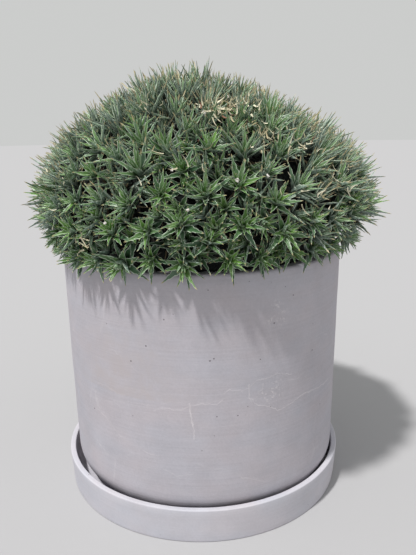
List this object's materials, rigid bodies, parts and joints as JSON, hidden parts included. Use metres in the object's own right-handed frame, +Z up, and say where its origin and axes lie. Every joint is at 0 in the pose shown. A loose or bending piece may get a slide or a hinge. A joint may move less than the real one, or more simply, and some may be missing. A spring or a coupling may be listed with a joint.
{
  "type": "potted deuterocohnia",
  "caption": "Low cushion of small spiky rosettes in a straight concrete pot that stands in a matching shallow saucer.",
  "frame": {"origin": "centre of the saucer's underside", "axes": "+Z up, along the pot's axis; -Y towards the side that the picture shows; +X to the right"},
  "size_m": [0.1835, 0.1898, 0.2266],
  "materials": {
    "concrete": "matte cast concrete, pale lilac grey",
    "soil": null,
    "leaf": "satin grey green leaves on woody branches"
  },
  "bodies": {
    "root": {"saucer": "concrete", "pot": "concrete", "soil": "soil", "branch_01": "leaf", "branch_02": "leaf", "branch_03": "leaf", "branch_04": "leaf", "branch_05": "leaf", "branch_06": "leaf", "branch_07": "leaf", "branch_08": "leaf", "branch_09": "leaf", "branch_10": "leaf", "branch_11": "leaf", "branch_12": "leaf", "branch_13": "leaf", "branch_14": "leaf", "branch_15": "leaf", "branch_16": "leaf", "branch_17": "leaf", "branch_18": "leaf", "branch_19": "leaf", "branch_20": "leaf", "branch_21": "leaf", "branch_22": "leaf", "branch_23": "leaf", "branch_24": "leaf", "branch_25": "leaf", "branch_26": "leaf", "branch_27": "leaf", "branch_28": "leaf", "branch_29": "leaf", "branch_30": "leaf", "branch_31": "leaf", "branch_32": "leaf", "branch_33": "leaf", "branch_34": "leaf", "branch_35": "leaf", "branch_36": "leaf"}
  },
  "joints": []
}
